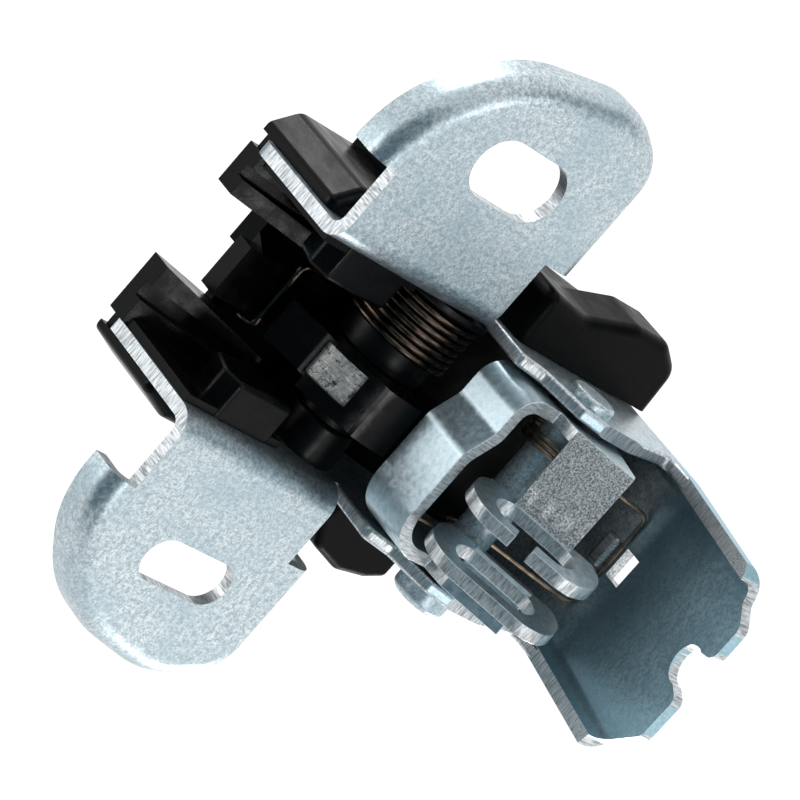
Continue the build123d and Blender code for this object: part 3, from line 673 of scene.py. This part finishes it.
class WireBender:
    """Round wire made as it is on a bending machine: straight runs, bends and coils."""

    def __init__(self, start: Vector, heading: Vector, radius: float) -> None:
        """Starts with the wire's cut end.

        Args:
            start: the centre of the end.
            heading: the way the wire leaves it.
            radius: the wire's radius.
        """
        self.mesh = bmesh.new()
        self.at = start.copy()
        self.heading = heading.normalized()
        turn = self.heading.to_track_quat("Z", "Y").to_matrix().to_4x4()
        made = bmesh.ops.create_circle(self.mesh, cap_ends=True, segments=WIRE_SIDES, radius=radius,
                                       matrix=Matrix.Translation(start) @ turn)
        self.ring = list({edge for vert in made["verts"] for edge in vert.link_edges})

    def run(self, length: float) -> None:
        """Draws the wire straight on.

        Args:
            length: how far.
        """
        made = bmesh.ops.extrude_edge_only(self.mesh, edges=self.ring)["geom"]
        verts = [item for item in made if isinstance(item, bmesh.types.BMVert)]
        bmesh.ops.translate(self.mesh, verts=verts, vec=self.heading * length)
        self._hold(made)
        self.at = self.at + self.heading * length

    def bend(self, centre: Vector, axis: Vector, degrees: float, steps: int, rise: float = 0.0) -> None:
        """Bends the wire round a centre, or coils it if it also rises along the axis.

        Args:
            centre: a point on the bend's axis.
            axis: the axis, which the wire turns about by the right-hand rule.
            degrees: how far it turns.
            steps: how many sections the bend has.
            rise: how far it moves along the axis in all.
        """
        angle = math.radians(degrees)
        made = bmesh.ops.spin(self.mesh, geom=self.ring, cent=centre, axis=axis, angle=angle,
                              dvec=axis.normalized() * rise / steps, steps=steps, use_duplicate=False)
        self._hold(made["geom_last"])
        turn = Matrix.Rotation(angle, 3, axis)
        self.at = centre + turn @ (self.at - centre) + axis.normalized() * rise
        self.heading = turn @ self.heading

    def through(self, *points: Vector, radius: float) -> None:
        """Runs to each point in turn with a bend of a radius at each, and stops at the last.

        Args:
            points: the corners and the end.
            radius: the bends' radius.
        """
        for corner, after in zip(points, points[1:]):
            leave = (after - corner).normalized()
            angle = self.heading.angle(leave)
            trim = radius * math.tan(angle / 2)
            self.run((corner - self.at).length - trim)
            axis = self.heading.cross(leave).normalized()
            centre = self.at + axis.cross(self.heading) * radius
            self.bend(centre, axis, math.degrees(angle), max(3, round(math.degrees(angle) / BEND_STEP)))
        self.run((points[-1] - self.at).length)

    def close(self) -> bmesh.types.BMesh:
        """Caps the last end.

        Returns:
            The wire's mesh.
        """
        bmesh.ops.contextual_create(self.mesh, geom=self.ring)
        bmesh.ops.remove_doubles(self.mesh, verts=self.mesh.verts, dist=0.001 * MM)
        bmesh.ops.recalc_face_normals(self.mesh, faces=self.mesh.faces)
        return self.mesh

    def _hold(self, geometry: list) -> None:
        """Keeps the edges of the last section."""
        self.ring = [item for item in geometry if isinstance(item, bmesh.types.BMEdge)]


# Sub-assemblies

@dataclass
class Bracket:
    """The pressed channel with its wings, and the rivets through it."""

    sheet: float = 2.4 * MM
    edge: float = 0.16 * MM
    finish: ZincPlate = field(default_factory=ZincPlate)
    # Painted light: the pins' zinc is a lighter copy (tones x1.1, less metallic), standing in for light the
    # lever pin loses in the shade under the saddle; the claw pin shares it.
    lit_rivet_finish: ZincPlate = field(default_factory=lambda: ZincPlate("rivet zinc painted lighter", 1.1, 0.6))

    def build(self) -> None:
        """Dresses the bracket and its rivets."""
        mesh = merged("mounting_bracket")
        mark_cut_edges(mesh, self.sheet)
        join_flats(mesh)
        pressing = finish_object("bracket_pressing", mesh, self.finish.build(), BRACKET)
        round_edges(pressing, self.edge, segments=2)
        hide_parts("mounting_bracket")
        # rivet holds the lighter zinc copy, painted light for the pins.
        rivet = self.lit_rivet_finish.build()
        dress_node("lever_pin", rivet)
        dress_node("claw_pin", rivet)


@dataclass
class Lever:
    """The release lever: a saddle, a satin ramp and two slotted ears."""

    sheet: float = 2.4 * MM
    edge: float = 0.16 * MM
    ramp_normal: Vector = field(default_factory=lambda: Vector((0, -0.6665, 0.7455)))
    ramp_left: float = 2.6 * MM
    ramp_match: float = 0.97
    finish: LeverZinc = field(default_factory=LeverZinc)

    def build(self) -> None:
        """Dresses the lever."""
        mesh = merged("release_lever")
        mark_cut_edges(mesh, self.sheet)
        layer = mesh.faces.layers.float.new(Mask.SATIN.value)
        for face in mesh.faces:
            sloped = face.normal.dot(self.ramp_normal) > self.ramp_match
            face[layer] = 1.0 if sloped and face.calc_center_median().x > self.ramp_left else 0.0
        join_flats(mesh)
        lever = finish_object("lever_pressing", mesh, self.finish.build(), LEVER)
        round_edges(lever, self.edge, segments=2)
        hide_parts("release_lever")


@dataclass
class Claw:
    """The coated claw and the bare steel that shows on its rim."""

    coat_edge: float = 0.45 * MM
    coat: MouldedBlack = MouldedBlack("claw coat", base=0.0015, rough=0.2, dust=0.002,
                                      texture=0.02, shine=0.14)

    def build(self) -> None:
        """Dresses the claw."""
        mesh = merged("claw_coat")
        join_flats(mesh)
        coat = finish_object("claw_moulding", mesh, self.coat.build(), CLAW)
        round_edges(coat, self.coat_edge, segments=3)
        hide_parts("claw_coat")
        dress_node("claw_plate", WornSteel().build())


@dataclass
class Mouldings:
    """The guides round the wall tips, and the covers, bush, spool and washers of like black plastic."""

    edge: float = 0.5 * MM
    guide: MouldedBlack = MouldedBlack("guide black", base=0.0015, rough=0.26, dust=0.003,
                                       texture=0.03, shine=0.12)
    cover: MouldedBlack = MouldedBlack("cover black", base=0.0015, rough=0.36, dust=0.003,
                                       texture=0.05, shine=0.06)
    bush: MouldedBlack = MouldedBlack("bush black", base=0.002, rough=0.34, dust=0.002,
                                      texture=0.02, shine=0.18)

    def build(self) -> None:
        """Dresses the mouldings."""
        guide = self.guide.build()
        cover = self.cover.build()
        for node, material, slot in (("left_guide", guide, Slot.GUIDE), ("right_guide", guide, Slot.GUIDE),
                                     ("rear_cover", cover, Slot.COVER), ("side_cover", cover, Slot.COVER)):
            mesh = merged(node)
            join_flats(mesh)
            piece = finish_object(f"{node}_moulding", mesh, material, BRACKET)
            round_edges(piece, self.edge, segments=3)
            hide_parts(node)
        bush = self.bush.build()
        for node in ("claw_bush", "spring_spool", "left_lever_washer", "right_lever_washer"):
            dress_node(node, bush)


@dataclass
class ClawSpring:
    """The close coil on the claw's spool, with one leg hooked in front of the jaw."""

    wire: float = 0.65 * MM
    coil: float = 9.8 * MM
    pivot: Span = (12.5 * MM, -13.0 * MM)
    start: float = 6.6 * MM
    turns: float = 6.75
    pitch: float = 1.36 * MM
    turn_steps: int = 40
    rear_leg: float = 13.0 * MM
    hook_left: float = -6.95 * MM
    hook_height: float = 3.75 * MM
    hook_tip: Span = (2.6 * MM, 1.8 * MM)
    hook_bend: float = 1.3 * MM
    finish: SpringWire = SpringWire("claw spring wire", (0.05, 0.038, 0.03), (0.13, 0.095, 0.072), 0.2)

    def bent(self) -> bmesh.types.BMesh:
        """Bends the wire from the hook to the rear leg.

        Returns:
            The spring's mesh.
        """
        y, z = self.pivot
        leg = y + self.coil
        reach, rise = self.hook_tip
        corner = Vector((self.hook_left, leg, self.hook_height))
        tip = Vector((self.hook_left, leg + reach, self.hook_height + rise))
        wire = WireBender(tip, corner - tip, self.wire)
        wire.through(corner, Vector((self.start, leg, self.hook_height)), Vector((self.start, leg, z)),
                     radius=self.hook_bend)
        wire.bend(Vector((0, y, z)), Vector((1, 0, 0)), -360.0 * self.turns,
                  round(self.turns * self.turn_steps), self.turns * self.pitch)
        wire.run(self.rear_leg)
        return wire.close()

    def build(self) -> None:
        """Makes and dresses the spring."""
        coil = finish_object("claw_coil", self.bent(), self.finish.build(), BRACKET)
        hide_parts("claw_spring")


@dataclass
class LeverSpring:
    """The lever's double torsion spring: a coil at each end of the pin, and a bar that bears on the web."""

    wire: float = 0.4 * MM
    coil: float = 5.2 * MM
    pivot: Span = (-13.8 * MM, -30.6 * MM)
    start: float = 9.9 * MM
    turns: float = 3.0
    pitch: float = 0.9 * MM
    turn_steps: int = 32
    bar: Span = (-19.9 * MM, -54.5 * MM)
    bar_bend: float = 1.5 * MM
    lead: float = 3.0 * MM
    knee: float = 3.5 * MM
    tail_top: float = -18.7 * MM
    finish: SpringWire = SpringWire("lever spring wire", (0.2, 0.15, 0.11), (0.55, 0.42, 0.3), 0.28)

    def bent(self) -> bmesh.types.BMesh:
        """Bends the wire from one tail to the other.

        Returns:
            The spring's mesh.
        """
        y, z = self.pivot
        leg = y + self.coil
        rise = self.turns * self.pitch
        steps = round(self.turns * self.turn_steps)
        axis = Vector((1, 0, 0))
        centre = Vector((0, y, z))
        wire = WireBender(Vector((self.start + rise, leg, self.tail_top)), Vector((0, 0, -1)), self.wire)
        wire.run(self.tail_top - z)
        wire.bend(centre, axis, -360.0 * self.turns, steps, -rise)
        wire.run(self.lead)
        wire.through(Vector((self.start, leg, z - self.knee)), Vector((self.start, *self.bar)),
                     Vector((-self.start, *self.bar)), Vector((-self.start, leg, z - self.knee)),
                     Vector((-self.start, leg, z)), radius=self.bar_bend)
        wire.bend(centre, axis, 360.0 * self.turns, steps, -rise)
        wire.run(self.tail_top - z)
        return wire.close()

    def build(self) -> None:
        """Makes and dresses the spring."""
        coils = finish_object("lever_coils", self.bent(), self.finish.build(), BRACKET)
        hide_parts("lever_spring")


# Studio

@dataclass(frozen=True)
class Card:
    """A round card that metal reflects: its name, direction from the latch, distance, radius and tone."""

    name: str
    towards: Triple
    distance: float
    radius: float
    tone: Triple


@dataclass(frozen=True)
class Lamp:
    """A soft lamp: its name, its place along the camera's right, up and back, side and power."""

    name: str
    place: Triple
    size: float
    watts: float


@dataclass
class Studio:
    """White surroundings, dark cards, soft lamps, and the camera at the photograph's angle."""

    eye: Vector = field(default_factory=lambda: Vector((147.9, -492.4, 538.2)) * MM)
    right: Vector = field(default_factory=lambda: Vector((0.6464, -0.4738, -0.5980)))
    above: Vector = field(default_factory=lambda: Vector((0.7376, 0.5887, 0.3308)))
    back: Vector = field(default_factory=lambda: Vector((0.1953, -0.6549, 0.7300)))
    lens: float = 207.68
    sensor: float = 36.0
    nearest: float = 0.01
    floor_z: float = -0.34
    floor_size: float = 3.0
    floor_tone: Triple = (0.18, 0.18, 0.18)
    daylight: float = 0.5
    daylight_tone: Triple = (0.86, 0.93, 1.0)
    card_sides: int = 48
    cards: tuple[Card, ...] = (
        Card("camera_hood", (-0.1, -0.6, 0.79), 1.0, 1.15, (0.05, 0.11, 0.14)),
        Card("side_cloth", (0.6, -0.5, -0.5), 0.42, 0.2, (0.36, 0.41, 0.43)),
        Card("rear_cloth", (-0.2, 0.95, 0.2), 0.45, 0.2, (0.085, 0.2, 0.25)),
    )
    lamps: tuple[Lamp, ...] = (
        Lamp("key", (-0.8, 0.5, 0.33), 0.3, 1.2),
        Lamp("front", (0.25, -0.68, 0.68), 0.16, 1.1),
        Lamp("fill", (0.75, -0.3, 0.3), 0.25, 1.4),
        Lamp("rim", (0.1, 0.9, -0.15), 0.3, 2.0),
        Lamp("low", (-0.5, -0.6, 0.5), 0.2, 0.25),
        Lamp("table", (0.02, -0.25, -0.17), 0.07, 0.25),
    )

    def camera(self) -> None:
        """Adds the camera."""
        data = bpy.data.cameras.new("camera")
        data.lens = self.lens
        data.sensor_width = self.sensor
        data.clip_start = self.nearest
        made = bpy.data.objects.new("camera", data)
        turn = Matrix((self.right, self.above, self.back)).transposed().to_4x4()
        made.matrix_world = Matrix.Translation(self.eye) @ turn
        bpy.context.scene.collection.objects.link(made)
        bpy.context.scene.camera = made

    def world(self) -> None:
        """Adds a world that is plain white where it is seen, and a soft cool light everywhere else."""
        world = bpy.data.worlds.new("studio")
        bpy.context.scene.world = world
        nodes = NodeTree(world)
        white = nodes.light("ShaderNodeBackground", WHITE)
        soft = nodes.light("ShaderNodeBackground", self.daylight_tone, self.daylight)
        mix = nodes.node("ShaderNodeMixShader")
        out = nodes.node("ShaderNodeOutputWorld")
        nodes.join(nodes.seen_plainly(), mix.inputs[0])
        nodes.join(soft.outputs[0], mix.inputs[1])
        nodes.join(white.outputs[0], mix.inputs[2])
        nodes.join(mix.outputs[0], out.inputs[0])

    def floor(self) -> None:
        """Lays a white floor well below the latch, which keeps a faint shadow."""
        mesh = bmesh.new()
        bmesh.ops.create_grid(mesh, x_segments=1, y_segments=1, size=self.floor_size,
                              matrix=Matrix.Translation((0, 0, self.floor_z)))
        material = bpy.data.materials.new("white floor")
        nodes = NodeTree(material)
        paper = nodes.node("ShaderNodeBsdfDiffuse")
        paper.inputs["Color"].default_value = (*self.floor_tone, 1)
        glow = nodes.light("ShaderNodeEmission", WHITE)
        both = nodes.node("ShaderNodeAddShader")
        out = nodes.node("ShaderNodeOutputMaterial")
        nodes.join(nodes.seen_plainly(), glow.inputs["Strength"])
        nodes.join(paper.outputs[0], both.inputs[0])
        nodes.join(glow.outputs[0], both.inputs[1])
        nodes.join(both.outputs[0], out.inputs[0])
        new_object("floor", mesh, material)

    def card(self, card: Card) -> None:
        """Hangs a card that only reflections show, never the camera.

        Args:
            card: where it hangs, its size and its tone.
        """
        mesh = bmesh.new()
        facing = Vector(card.towards).normalized()
        turn = facing.to_track_quat("Z", "Y").to_matrix().to_4x4()
        bmesh.ops.create_circle(mesh, cap_ends=True, segments=self.card_sides, radius=card.radius,
                                matrix=Matrix.Translation(facing * card.distance) @ turn)
        material = bpy.data.materials.new(card.name)
        nodes = NodeTree(material)
        glow = nodes.light("ShaderNodeEmission", card.tone)
        out = nodes.node("ShaderNodeOutputMaterial")
        nodes.join(glow.outputs[0], out.inputs[0])
        made = new_object(card.name, mesh, material)
        made.visible_camera = False
        made.visible_diffuse = False
        made.visible_shadow = False

    def lamp(self, lamp: Lamp) -> None:
        """Adds a soft square lamp that faces the latch.

        Args:
            lamp: where it stands, how large it is and its power.
        """
        data = bpy.data.lights.new(lamp.name, "AREA")
        data.size = lamp.size
        data.energy = lamp.watts
        made = bpy.data.objects.new(lamp.name, data)
        along, up, behind = lamp.place
        made.location = self.right * along + self.above * up + self.back * behind
        made.rotation_euler = made.location.to_track_quat("Z", "Y").to_euler()
        bpy.context.scene.collection.objects.link(made)

    def build(self) -> None:
        """Sets up the studio."""
        bpy.context.scene.view_settings.view_transform = "Standard"
        self.camera()
        self.world()
        self.floor()
        for card in self.cards:
            self.card(card)
        for lamp in self.lamps:
            self.lamp(lamp)


def main() -> None:
    """Builds the latch's sub-assemblies in order."""
    for part in (Bracket(), Lever(), Claw(), Mouldings(), ClawSpring(), LeverSpring(), Studio()):
        log.info("building %s", type(part).__name__)
        part.build()


if __name__ == "__main__":
    main()
